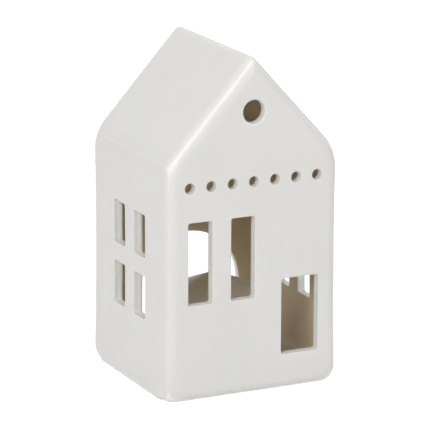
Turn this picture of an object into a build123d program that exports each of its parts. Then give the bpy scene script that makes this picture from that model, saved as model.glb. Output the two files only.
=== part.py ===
from build123d import *
from math import atan2, cos, pi, radians, sqrt, tan
import os

# A slip-cast porcelain house with a candle in it. X runs along the gable front, which faces -Y,
# +Z is up, and the origin is at the middle of the foot that the house stands on.

# House body: the eaves and ridge heights are those of the sharp corners before rounding, and the
# eaves are narrower than the foot by the taper. The foot's corners are roundest at the end
# walls, at a share of the pier beside the back arch
foot_width = 85.8
eaves_taper = 1.2
house_depth = 82.0
eaves_height = 107.8
ridge_height = 154.3
wall = 4.2
wall_hollow = 0.65
eaves_turn = 20.5
ridge_turn = 3.0
ridge_turn_least = 0.6
corner_radius = 5.0
roof_end_radius = 6.0
foot_end_radius = 5.2
end_sections = 7
foot_side_radius = 2.5
foot_corner_share = 0.67
foot_corner_depth = 11.0
floor_height = 7.0
inner_turn = 3.5
floor_turn = 4.0
inner_edge_radius = 2.5
overrun = 2.0
closeness = 0.01

# Tall front windows and front door; the shares are of the house's half width
tall_width = 11.7
tall_height = 37.7
tall_sill = 44.4
tall_centre_shares = (-0.608, -0.1225)
door_width = 18.4
door_height = 35.3
door_sill = 16.4
door_centre_share = 0.5365

# Side windows, two columns by two rows in each side wall; the shares are of the half depth
side_width = 12.0
side_height = 19.8
left_sills = (33.2, 61.5)
left_centre_shares = (-0.280, 0.249)
right_sills = (34.5, 61.5)
right_centre_shares = (-0.385, 0.110)
opening_corner = 1.1
opening_lip = 0.8

# Row of small round holes under the eaves' height, its pitch a share of the eaves' half width,
# and the larger hole, at a share of the rise from that row to the ridge
vent_diameter = 4.9
vent_count = 7
vent_pitch_share = 0.2447
vent_drop = 10.2
vent_lip = 0.7
gable_hole_diameter = 10.4
gable_hole_share = 0.553
gable_hole_lip = 1.0

# Arched opening in the back wall, level with the floor, through which the candle goes in; its
# centre is at a share of the width that the wall leaves beside it
arch_radius = 26.7
arch_spring = 28.8
arch_centre_share = 0.265
arch_corner = 2.5
arch_lip = 1.0

# Shallow hollow in the underside, which leaves a ring to stand on
foot_ring = 7.0
foot_hollow_turn = 6.0
foot_hollow_edge = 0.8

# Candle with a low coned top, on the house's floor
candle_diameter = 46.0
candle_rise = 37.3
candle_slope = 21.7
candle_shoulder = 4.0
candle_toe = 1.5
candle_flat = 2.5
candle_flat_turn = 5.0
candle_x = 2.0
candle_y = 4.1
wick_diameter = 1.8
wick_proud = 7.5
wick_gap = 0.1
sustainer_diameter = 20.0
sustainer_sheet = 0.4
neck_diameter = 3.6
neck_height = 6.0

eaves_width = foot_width - eaves_taper
pitch = atan2(ridge_height - eaves_height, eaves_width / 2)
end_depth = max(corner_radius, roof_end_radius, foot_end_radius)
wall_reach = wall + 2 * overrun
wall_lean = abs(eaves_taper) / 2 + wall_hollow
side_reach = wall_reach + wall_lean
arch_reach = wall_reach + inner_edge_radius
arch_centre = arch_centre_share * (foot_width / 2 - arch_radius)
foot_corner_radius = foot_corner_share * (foot_width / 2 - arch_centre - arch_radius)


def set_back(radius, depth):
    """How far an edge rounded to this radius has drawn in, at a depth behind the face."""
    rest = max(radius - depth, 0)
    return radius - sqrt(radius**2 - rest**2)


def outline(side_in, roof_in, foot, top_turn):
    """Front outline of the house, its walls and roof set in, its eaves and ridge rounded."""
    foot_half = foot_width / 2 - side_in
    eaves_half = eaves_width / 2 - side_in
    ridge = ridge_height - roof_in / cos(pitch)
    eaves = ridge - eaves_half * tan(pitch)
    waist = (foot_half + eaves_half) / 2 - wall_hollow
    middle = (foot + eaves) / 2
    right = ThreePointArc((foot_half, foot), (waist, middle), (eaves_half, eaves))
    left = ThreePointArc((-eaves_half, eaves), (-waist, middle), (-foot_half, foot))
    roof = Polyline((eaves_half, eaves), (0, ridge), (-eaves_half, eaves))
    base = Line((-foot_half, foot), (foot_half, foot))
    face = make_face(base + right + roof + left)
    eaves_corners = face.vertices().sort_by(Axis.Y)[-3:-1]
    face = fillet(eaves_corners, eaves_turn - (side_in + roof_in) / 2)
    return fillet(face.vertices().sort_by(Axis.Y)[-1], top_turn)


def body_section(depth):
    """The outline at a depth behind the front, where the front's edges round over."""
    side_in = set_back(corner_radius, depth)
    roof_in = set_back(roof_end_radius, depth)
    foot_in = set_back(foot_end_radius, depth)
    top_turn = max(ridge_turn - roof_in, ridge_turn_least)
    face = outline(side_in, roof_in, foot_in, top_turn)
    corner_share = 1 - depth / foot_corner_depth
    foot_turn = foot_side_radius + corner_share * (foot_corner_radius - foot_side_radius)
    face = fillet(face.vertices().sort_by(Axis.Y)[:2], foot_turn)
    return Plane.XZ.offset(house_depth / 2 - depth) * face


def body_block():
    """The outside shape of the house, solid."""
    turns = [pi / 2 * step / (end_sections - 1) for step in range(end_sections)]
    cap = loft([body_section(end_depth * (1 - cos(turn))) for turn in turns])
    cap += loft([body_section(end_depth), body_section(foot_corner_depth)])
    middle = extrude(body_section(foot_corner_depth), 2 * foot_corner_depth - house_depth)
    return cap + middle + mirror(cap, about=Plane.XZ)


def house_hollow():
    """The room inside, one wall thickness within the outside shape."""
    face = outline(wall, wall, floor_height, inner_turn)
    face = fillet(face.vertices().sort_by(Axis.Y)[:2], floor_turn)
    room_depth = house_depth - 2 * wall
    room = extrude(Plane.XZ.offset(room_depth / 2) * face, -room_depth)
    ends = room.faces().filter_by(Axis.Y)
    return fillet(ends.edges(), inner_edge_radius)


def hollow_foot(house):
    """Press a shallow hollow into the underside, inside the ring that the house stands on."""
    size = (foot_width - 2 * foot_ring, house_depth - 2 * foot_ring)
    rise = floor_height - wall
    hollow = extrude(RectangleRounded(*size, foot_hollow_turn), rise + overrun)
    hollow = fillet(hollow.edges().group_by(Axis.Z)[-1], foot_hollow_edge)
    return house - Pos(0, 0, -overrun) * hollow


def window(width, height, centre, sill):
    """A window or door opening as a flat shape standing on its sill."""
    shape = RectangleRounded(width, height, opening_corner)
    return Pos(centre, sill + height / 2) * shape


def front_openings():
    """Windows, door, the row of holes and the gable hole, as flat shapes."""
    half = foot_width / 2
    shapes = [window(tall_width, tall_height, share * half, tall_sill) for share in tall_centre_shares]
    shapes.append(window(door_width, door_height, door_centre_share * half, door_sill))
    vents = GridLocations(vent_pitch_share * eaves_width / 2, 0, vent_count, 1)
    row = eaves_height - vent_drop
    shapes += [Pos(0, row) * spot * Circle(vent_diameter / 2) for spot in vents]
    gable_hole = row + gable_hole_share * (ridge_height - row)
    shapes.append(Pos(0, gable_hole) * Circle(gable_hole_diameter / 2))
    return shapes


def side_openings(shares, sills):
    """Four windows of one side wall, as flat shapes."""
    spots = [(share * house_depth / 2, sill) for share in shares for sill in sills]
    return [window(side_width, side_height, *spot) for spot in spots]


def arch_shape():
    """The round-topped opening in the back wall, its sill corners rounded."""
    top = arch_spring + arch_radius
    ends = (arch_centre - arch_radius, arch_centre + arch_radius)
    round_top = ThreePointArc((ends[1], arch_spring), (arch_centre, top), (ends[0], arch_spring))
    sill = floor_height
    low = [(ends[0], arch_spring), (ends[0], sill), (ends[1], sill), (ends[1], arch_spring)]
    face = make_face(round_top + Polyline(*low))
    return fillet(face.vertices().sort_by(Axis.Y)[:2], arch_corner)


def cut_openings(house):
    """Pierce the front, back and side walls."""
    side_face = max(foot_width, eaves_width) / 2 + overrun
    front_plane = Plane.XZ.offset(house_depth / 2 + overrun)
    back_plane = Plane.XZ.offset(-house_depth / 2 - overrun)
    right_plane = Plane.YZ.offset(side_face)
    left_plane = Plane.YZ.offset(-side_face)
    house -= [extrude(front_plane * shape, -wall_reach) for shape in front_openings()]
    house -= extrude(back_plane * arch_shape(), arch_reach)
    right_shapes = side_openings(right_centre_shares, right_sills)
    left_shapes = side_openings(left_centre_shares, left_sills)
    house -= [extrude(right_plane * shape, -side_reach) for shape in right_shapes]
    house -= [extrude(left_plane * shape, side_reach) for shape in left_shapes]
    return house


def rim_loops(face):
    """The edges of each opening in one wall face, a list for each opening."""
    return [wire.edges() for wire in face.inner_wires()]


def soften_front(house):
    """Round the outer rims of the openings in the front wall."""
    face = house.faces().filter_by(Axis.Y).sort_by(Axis.Y)[0]
    loops = rim_loops(face)
    windows = [e for loop in loops for e in loop if len(loop) > 1]
    house = fillet(windows, opening_lip)
    rings = [e for loop in loops for e in loop if len(loop) == 1]
    vents = [e for e in rings if e.radius < vent_diameter]
    hole = [e for e in rings if e.radius > vent_diameter]
    house = fillet(vents, vent_lip)
    return fillet(hole, gable_hole_lip)


def soften_sides(house):
    """Round the outer rims of the side windows."""
    pierced = [f for f in house.faces() if len(f.inner_wires()) == len(left_sills) ** 2]
    pierced = ShapeList(pierced).sort_by(Axis.X)
    for face in (pierced[0], pierced[-1]):
        house = fillet([e for loop in rim_loops(face) for e in loop], opening_lip)
    return house


def soften_back(house):
    """Round the outer rim of the arched opening."""
    face = house.faces().filter_by(Axis.Y).sort_by(Axis.Y)[-1]
    return fillet([e for loop in rim_loops(face) for e in loop], arch_lip)


def house_shell():
    """The whole porcelain house."""
    house = cut_openings(hollow_foot(body_block() - house_hollow()))
    return soften_back(soften_sides(soften_front(house)))


def standing(radius, height):
    """An upright cylinder on the candle's axis, its foot on the house's floor."""
    return Pos(candle_x, candle_y, floor_height) * extrude(Circle(radius), height)


def candle_block():
    """The candle's outside shape, its foot at the height zero."""
    radius = candle_diameter / 2
    shoulder = candle_rise - (radius - candle_flat) * tan(radians(candle_slope))
    corners = [(0, 0), (radius, 0), (radius, shoulder), (candle_flat, candle_rise), (0, candle_rise)]
    face = make_face(Polyline(*corners, close=True))
    outer = face.vertices().group_by(Axis.X)[-1].sort_by(Axis.Y)
    face = fillet(outer[0], candle_toe)
    outer = face.vertices().filter_by(lambda corner: abs(corner.Y - shoulder) < closeness)
    face = fillet(outer, candle_shoulder)
    peak = face.vertices().filter_by(lambda corner: abs(corner.X - candle_flat) < closeness)
    face = fillet(peak, candle_flat_turn)
    return revolve(Plane.XZ * face, Axis.Z)


def candle_wax():
    """The candle's wax, with the wick's hole and the disc's bed left free."""
    body = Pos(candle_x, candle_y, floor_height) * candle_block()
    body -= standing(sustainer_diameter / 2 + wick_gap, sustainer_sheet + wick_gap)
    body -= standing(neck_diameter / 2 + wick_gap, neck_height + wick_gap)
    return body - standing(wick_diameter / 2 + wick_gap, candle_rise)


def candle_wick():
    """Wick standing on the floor, through the disc's neck and the wax."""
    body = standing(wick_diameter / 2, candle_rise + wick_proud)
    return fillet(body.edges().sort_by(Axis.Z)[-1], wick_diameter / 4)


def wick_sustainer():
    """Metal disc under the candle with a short neck that grips the wick."""
    disc = standing(sustainer_diameter / 2, sustainer_sheet)
    neck = standing(neck_diameter / 2, neck_height)
    return disc + neck - standing(wick_diameter / 2 + wick_gap, neck_height)


parts = {
    "house_shell": house_shell(),
    "candle_wax": candle_wax(),
    "candle_wick": candle_wick(),
    "wick_sustainer": wick_sustainer(),
}

os.makedirs("parts", exist_ok=True)
for name, shape in parts.items():
    export_step(shape, f"parts/{name}.step")
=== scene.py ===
import math

import bpy
from mathutils import Matrix, Vector


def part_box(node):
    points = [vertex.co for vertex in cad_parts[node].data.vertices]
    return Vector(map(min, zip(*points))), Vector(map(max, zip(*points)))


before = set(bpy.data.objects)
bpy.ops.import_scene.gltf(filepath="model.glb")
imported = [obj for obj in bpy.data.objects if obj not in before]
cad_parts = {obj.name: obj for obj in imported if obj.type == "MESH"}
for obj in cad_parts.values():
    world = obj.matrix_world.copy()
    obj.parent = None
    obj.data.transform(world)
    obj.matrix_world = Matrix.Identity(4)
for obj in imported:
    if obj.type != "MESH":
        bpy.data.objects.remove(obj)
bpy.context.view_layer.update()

# A porcelain candle house in metres: the front wall with the door faces -Y, +Z is up.
MM = 0.001
PIXELS = 430

# Camera, as solved from the house's own edges in the photograph
CAMERA_AZIMUTH = -25.746
CAMERA_ELEVATION = 14.917
CAMERA_ROLL = 0.148
CAMERA_DISTANCE = 1369.0 * MM
CAMERA_TARGET = Vector((0.75 * MM, 0, 72.52 * MM))
CAMERA_NEAR = 0.05
CAMERA_FAR = 50
FOCAL_PIXELS = 3026.69
SENSOR = 36.0

# House: its half depth from the frame, the half widths of its foot and eaves, how far its side
# walls draw in between them, and the slope of its roof
HOUSE_LOW, HOUSE_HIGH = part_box("house_shell")
HALF_DEPTH = (HOUSE_HIGH[1] - HOUSE_LOW[1]) / 2
FOOT_HALF = 42.9 * MM
EAVES_HALF = 42.3 * MM
EAVES = 107.8 * MM
WALL_HOLLOW = 0.65 * MM
RIDGE = 154.3 * MM
ROOF_SLOPE = (RIDGE - EAVES) / EAVES_HALF
WALL = 4.2 * MM
FLOOR_TOP = 7.0 * MM

# Colours; those in pairs vary softly between the two
GLAZE_OUTSIDE = (0.772, 0.765, 0.74), (0.787, 0.78, 0.757)
# Painted shade: the inside's glaze gets a darker, warmer colour that stands for the shade in the
# room
INSIDE_PAINTED_SHADE = (0.71, 0.625, 0.475), (0.75, 0.665, 0.515)
# Painted light: the openings' jambs and sills get a whiter glaze that stands for light falling on
# them
OPENING_PAINTED_LIGHT = (0.955, 0.95, 0.925)
# Painted light: the floor inside gets a lighter colour that stands for light coming in at the door
FLOOR_PAINTED_LIGHT = (0.80, 0.77, 0.68)
BARE_FOOT = (0.72, 0.70, 0.66)
WAX_CREAM = (0.95, 0.86, 0.71), (0.975, 0.89, 0.75)
COTTON_WHITE = (0.78, 0.74, 0.64), (0.90, 0.88, 0.81)
TIN_GREY = (0.60, 0.60, 0.61), (0.72, 0.72, 0.73)

# The middle part of a noise's range, over which soft changes run
NOISE_LOW = 0.3
NOISE_HIGH = 0.7

# Depths under the house's outside, as shares of the wall: where the painted light on an opening's
# jambs and sills fades in, and where the opening ends and the inside's painted shade begins
OPENING_LIGHT_FROM = 0.24
OPENING_LIGHT_TO = 0.6
INSIDE_FROM = 0.82
INSIDE_TO = 0.97

# Heights between which the inside's painted shade turns into painted light on the floor,
# and the glaze into the bare foot
FLOOR_FROM = FLOOR_TOP + 2 * MM
FLOOR_TO = FLOOR_TOP + 0.5 * MM
FOOT_FROM = 0.5 * MM
FOOT_TO = 0.1 * MM

# Glaze: roughness of its streaks and what the inside and the foot add, its translucency, and its
# long waves with a share of fine peel on them
GLAZE_ROUGH = 0.30, 0.38
INSIDE_ROUGH = 0.2
FOOT_ROUGH = 0.4
GLAZE_TRANSLUCENCY = 0.7
GLAZE_RADIUS = (1.0, 0.85, 0.65)
PEEL_SHARE = 0.06
GLAZE_RELIEF = 0.12 * MM

# Wax, cotton and tin: roughness, relief and the wax's translucency
WAX_ROUGH = 0.34, 0.46
WAX_TRANSLUCENCY = 0.35
WAX_RADIUS = (2.2 * MM, 1.8 * MM, 1.2 * MM)
WAX_RELIEF = 0.06 * MM
COTTON_ROUGH = 0.7, 0.9
COTTON_RELIEF = 0.05 * MM
TIN_ROUGH = 0.3, 0.45

# Room: the floor, how far it lies under the foot, its white and its glow, and the even light
FLOOR_SIZE = 6.0
FLOOR_DROP = 0.05 * MM
FLOOR_WHITE = 0.86
FLOOR_GLOW = 0.6
ROOM_LIGHT = 0.38


def new_material(name):
    """An empty node material and its shader, joined to the output."""
    material = bpy.data.materials.new(name)
    material.use_nodes = True
    tree = material.node_tree
    tree.nodes.clear()
    output = tree.nodes.new("ShaderNodeOutputMaterial")
    shader = tree.nodes.new("ShaderNodeBsdfPrincipled")
    tree.links.new(shader.outputs["BSDF"], output.inputs["Surface"])
    return material, tree, shader


def math_node(tree, operation, *values):
    """A math node fed with sockets or numbers; gives its result."""
    node = tree.nodes.new("ShaderNodeMath")
    node.operation = operation
    for socket, value in zip(node.inputs, values):
        if isinstance(value, (int, float)):
            socket.default_value = value
        else:
            tree.links.new(value, socket)
    return node.outputs[0]


def object_place(tree):
    """The place in the object's own frame, whole and split into X, Y and Z."""
    place = tree.nodes.new("ShaderNodeTexCoord").outputs["Object"]
    split = tree.nodes.new("ShaderNodeSeparateXYZ")
    tree.links.new(place, split.inputs[0])
    return place, split.outputs


def noise(tree, place, scale, detail):
    """Noise over the object's own place, from 0 to 1."""
    node = tree.nodes.new("ShaderNodeTexNoise")
    node.inputs["Scale"].default_value = scale
    node.inputs["Detail"].default_value = detail
    node.inputs["Roughness"].default_value = 0.5
    tree.links.new(place, node.inputs["Vector"])
    return node.outputs["Fac"]


def spread(tree, value, low, high, out_low=0.0, out_high=1.0):
    """A value's range mapped smoothly to another range."""
    node = tree.nodes.new("ShaderNodeMapRange")
    node.interpolation_type = "SMOOTHSTEP"
    for name, number in (
        ("From Min", low),
        ("From Max", high),
        ("To Min", out_low),
        ("To Max", out_high),
    ):
        node.inputs[name].default_value = number
    tree.links.new(value, node.inputs["Value"])
    return node.outputs["Result"]


def mix_colour(tree, factor, first, second):
    """A colour between two, each a socket or a tuple."""
    node = tree.nodes.new("ShaderNodeMix")
    node.data_type = "RGBA"
    tree.links.new(factor, node.inputs["Factor"])
    for name, value in (("A", first), ("B", second)):
        socket = next(s for s in node.inputs if s.name == name and s.type == "RGBA")
        if isinstance(value, tuple):
            socket.default_value = (*value, 1)
        else:
            tree.links.new(value, socket)
    return next(s for s in node.outputs if s.type == "RGBA")


def add_bump(tree, shader, height, distance):
    """Fine relief, its height given as a socket and its depth in metres."""
    bump = tree.nodes.new("ShaderNodeBump")
    bump.inputs["Strength"].default_value = 1.0
    bump.inputs["Distance"].default_value = distance
    tree.links.new(height, bump.inputs["Height"])
    tree.links.new(bump.outputs["Normal"], shader.inputs["Normal"])


def half_width(tree, height):
    """Half the house's width at a height, between its hollowed side walls, in metres."""
    rise = math_node(tree, "DIVIDE", height, EAVES)
    taper = math_node(tree, "MULTIPLY", rise, FOOT_HALF - EAVES_HALF)
    bow = math_node(tree, "MULTIPLY", rise, math_node(tree, "SUBTRACT", 1.0, rise))
    drawn = math_node(tree, "MULTIPLY", bow, 4 * WALL_HOLLOW)
    return math_node(tree, "SUBTRACT", FOOT_HALF, math_node(tree, "ADD", taper, drawn))


def depth_under_skin(tree, axes):
    """How far a place lies inside the house's outside shape, in metres."""
    across = math_node(tree, "ABSOLUTE", axes["X"])
    along = math_node(tree, "ABSOLUTE", axes["Y"])
    x_in = math_node(tree, "SUBTRACT", half_width(tree, axes["Z"]), across)
    y_in = math_node(tree, "SUBTRACT", HALF_DEPTH, along)
    fall = math_node(tree, "MULTIPLY", across, ROOF_SLOPE)
    roof = math_node(tree, "SUBTRACT", RIDGE, fall)
    under = math_node(tree, "SUBTRACT", roof, axes["Z"])
    roof_in = math_node(tree, "MULTIPLY", under, 1 / math.hypot(1, ROOF_SLOPE))
    walls_in = math_node(tree, "MINIMUM", x_in, y_in)
    return math_node(tree, "MINIMUM", walls_in, roof_in)


def porcelain():
    """White satin glaze; painted light whitens the openings and the inner floor, painted shade
    darkens and warms the inside; bare clay on the foot.
    """
    material, tree, shader = new_material("glazed_porcelain")
    place, axes = object_place(tree)
    cloud = spread(tree, noise(tree, place, 28, 2), NOISE_LOW, NOISE_HIGH)
    outside = mix_colour(tree, cloud, *GLAZE_OUTSIDE)
    # Painted shade: the inside is coloured darker and warmer than the outside glaze
    inner_cloud = spread(tree, noise(tree, place, 60, 3), NOISE_LOW, NOISE_HIGH)
    inside = mix_colour(tree, inner_cloud, *INSIDE_PAINTED_SHADE)
    depth = depth_under_skin(tree, axes)
    # Painted light: the jambs and sills of the openings are whitened deeper into the wall
    opening_light_share = spread(tree, depth, OPENING_LIGHT_FROM * WALL, OPENING_LIGHT_TO * WALL)
    lit_openings = mix_colour(tree, opening_light_share, outside, OPENING_PAINTED_LIGHT)
    inner_share = spread(tree, depth, INSIDE_FROM * WALL, INSIDE_TO * WALL)
    # Painted light: the floor inside is coloured lighter than the rest of the inside
    floor_light_share = spread(tree, axes["Z"], FLOOR_FROM, FLOOR_TO)
    painted_room_side = mix_colour(tree, floor_light_share, inside, FLOOR_PAINTED_LIGHT)
    # The glaze colour: the openings' painted light gives way to the inside's painted shade and the
    # floor's painted light
    glaze = mix_colour(tree, inner_share, lit_openings, painted_room_side)
    foot_share = spread(tree, axes["Z"], FOOT_FROM, FOOT_TO)
    colour = mix_colour(tree, foot_share, glaze, BARE_FOOT)
    tree.links.new(colour, shader.inputs["Base Color"])
    inner_rough = math_node(tree, "MULTIPLY", inner_share, INSIDE_ROUGH)
    foot_rough = math_node(tree, "MULTIPLY", foot_share, FOOT_ROUGH)
    streaks = spread(tree, noise(tree, place, 90, 3), NOISE_LOW, NOISE_HIGH, *GLAZE_ROUGH)
    rough = math_node(tree, "ADD", math_node(tree, "ADD", streaks, inner_rough), foot_rough)
    tree.links.new(rough, shader.inputs["Roughness"])
    shader.inputs["Specular IOR Level"].default_value = 0.5
    shader.inputs["Subsurface Weight"].default_value = GLAZE_TRANSLUCENCY
    shader.inputs["Subsurface Radius"].default_value = GLAZE_RADIUS
    shader.inputs["Subsurface Scale"].default_value = WALL
    peel = math_node(tree, "MULTIPLY", noise(tree, place, 700, 2), PEEL_SHARE)
    height = math_node(tree, "ADD", noise(tree, place, 55, 2), peel)
    add_bump(tree, shader, height, GLAZE_RELIEF)
    return material


def wax():
    """Cream wax, slightly translucent, with a faint cast texture."""
    material, tree, shader = new_material("candle_wax")
    place, _ = object_place(tree)
    cloud = noise(tree, place, 130, 4)
    colour = mix_colour(tree, cloud, *WAX_CREAM)
    tree.links.new(colour, shader.inputs["Base Color"])
    rough = spread(tree, cloud, NOISE_LOW, NOISE_HIGH, *WAX_ROUGH)
    tree.links.new(rough, shader.inputs["Roughness"])
    shader.inputs["Subsurface Weight"].default_value = WAX_TRANSLUCENCY
    shader.inputs["Subsurface Radius"].default_value = WAX_RADIUS
    shader.inputs["Subsurface Scale"].default_value = 1.0
    add_bump(tree, shader, noise(tree, place, 420, 3), WAX_RELIEF)
    return material


def cotton():
    """Waxed cotton strands."""
    material, tree, shader = new_material("wick_cotton")
    place, _ = object_place(tree)
    fibres = noise(tree, place, 2600, 4)
    colour = mix_colour(tree, fibres, *COTTON_WHITE)
    tree.links.new(colour, shader.inputs["Base Color"])
    rough = spread(tree, fibres, NOISE_LOW, NOISE_HIGH, *COTTON_ROUGH)
    tree.links.new(rough, shader.inputs["Roughness"])
    add_bump(tree, shader, fibres, COTTON_RELIEF)
    return material


def tinned_steel():
    """Thin stamped metal, dull bright."""
    material, tree, shader = new_material("tinned_steel")
    place, _ = object_place(tree)
    cloud = noise(tree, place, 500, 3)
    colour = mix_colour(tree, cloud, *TIN_GREY)
    tree.links.new(colour, shader.inputs["Base Color"])
    shader.inputs["Metallic"].default_value = 1.0
    rough = spread(tree, cloud, NOISE_LOW, NOISE_HIGH, *TIN_ROUGH)
    tree.links.new(rough, shader.inputs["Roughness"])
    return material


def dress(node, material):
    """Give a node of the frame its finish."""
    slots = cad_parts[node].data.materials
    slots.clear()
    slots.append(material)


def seen_directly(tree):
    """1 for what the camera sees, straight or by reflection or through glass."""
    path = tree.nodes.new("ShaderNodeLightPath").outputs
    direct = math_node(tree, "MAXIMUM", path["Is Camera Ray"], path["Is Glossy Ray"])
    return math_node(tree, "MAXIMUM", direct, path["Is Transmission Ray"])


def floor():
    """A pale floor that glows a little to the camera, so that it shows white."""
    bpy.ops.mesh.primitive_plane_add(size=FLOOR_SIZE, location=(0, 0, -FLOOR_DROP))
    plane = bpy.context.object
    plane.name = "floor"
    material = bpy.data.materials.new("floor_white")
    material.use_nodes = True
    tree = material.node_tree
    tree.nodes.clear()
    output = tree.nodes.new("ShaderNodeOutputMaterial")
    matt = tree.nodes.new("ShaderNodeBsdfDiffuse")
    matt.inputs["Color"].default_value = (FLOOR_WHITE, FLOOR_WHITE, FLOOR_WHITE, 1)
    glow = tree.nodes.new("ShaderNodeEmission")
    both = tree.nodes.new("ShaderNodeAddShader")
    strength = math_node(tree, "MULTIPLY", seen_directly(tree), FLOOR_GLOW)
    tree.links.new(strength, glow.inputs["Strength"])
    tree.links.new(matt.outputs[0], both.inputs[0])
    tree.links.new(glow.outputs[0], both.inputs[1])
    tree.links.new(both.outputs[0], output.inputs["Surface"])
    plane.data.materials.append(material)


def room():
    """Even light from all round, and a white backdrop where it is seen directly."""
    world = bpy.data.worlds.new("room")
    bpy.context.scene.world = world
    world.use_nodes = True
    tree = world.node_tree
    background = tree.nodes["Background"]
    background.inputs["Color"].default_value = (1, 1, 1, 1)
    extra = math_node(tree, "MULTIPLY", seen_directly(tree), 1 - ROOM_LIGHT)
    tree.links.new(math_node(tree, "ADD", extra, ROOM_LIGHT), background.inputs["Strength"])


def lamp(name, place, aim, size, power, mirrored=True):
    """A square soft box at a place, aimed at a point, mirrored in the glaze or not."""
    data = bpy.data.lights.new(name, "AREA")
    data.shape = "SQUARE"
    data.size = size
    data.energy = power
    light = bpy.data.objects.new(name, data)
    light.visible_glossy = mirrored
    bpy.context.scene.collection.objects.link(light)
    place, aim = Vector(place), Vector(aim)
    light.location = place
    light.rotation_mode = "QUATERNION"
    light.rotation_quaternion = (aim - place).to_track_quat("-Z", "Y")


def lamps():
    """Soft boxes: a key from the front left, a fill from the front right, one above, one behind."""
    middle = (0, 0, 0.07)
    lamp("key", (-1.05, -1.0, 0.9), middle, 0.6, 11.5)
    lamp("fill", (0.7, -1.1, 1.0), middle, 0.9, 4.0)
    lamp("top", (0, 0.1, 1.5), middle, 1.0, 3.6)
    lamp("back", (0.3, 1.3, 0.4), middle, 0.9, 4.0, mirrored=False)


def camera():
    """The photograph's camera."""
    degrees = (CAMERA_AZIMUTH, CAMERA_ELEVATION, CAMERA_ROLL)
    a, e, r = (math.radians(v) for v in degrees)
    back = Vector((math.sin(a) * math.cos(e), -math.cos(a) * math.cos(e), math.sin(e)))
    right = Vector((math.cos(a), math.sin(a), 0))
    up = back.cross(right)
    tilted_right = math.cos(r) * right + math.sin(r) * up
    tilted_up = math.cos(r) * up - math.sin(r) * right
    data = bpy.data.cameras.new("photo_camera")
    data.sensor_width = SENSOR
    data.lens = FOCAL_PIXELS * SENSOR / PIXELS
    data.clip_start = CAMERA_NEAR
    data.clip_end = CAMERA_FAR
    eye = bpy.data.objects.new("photo_camera", data)
    bpy.context.scene.collection.objects.link(eye)
    axes = Matrix((tilted_right, tilted_up, back)).transposed().to_4x4()
    eye.matrix_world = Matrix.Translation(CAMERA_TARGET + back * CAMERA_DISTANCE) @ axes
    bpy.context.scene.camera = eye


camera()
dress("house_shell", porcelain())
dress("candle_wax", wax())
dress("candle_wick", cotton())
dress("wick_sustainer", tinned_steel())
floor()
room()
lamps()
bpy.context.scene.view_settings.view_transform = "Standard"
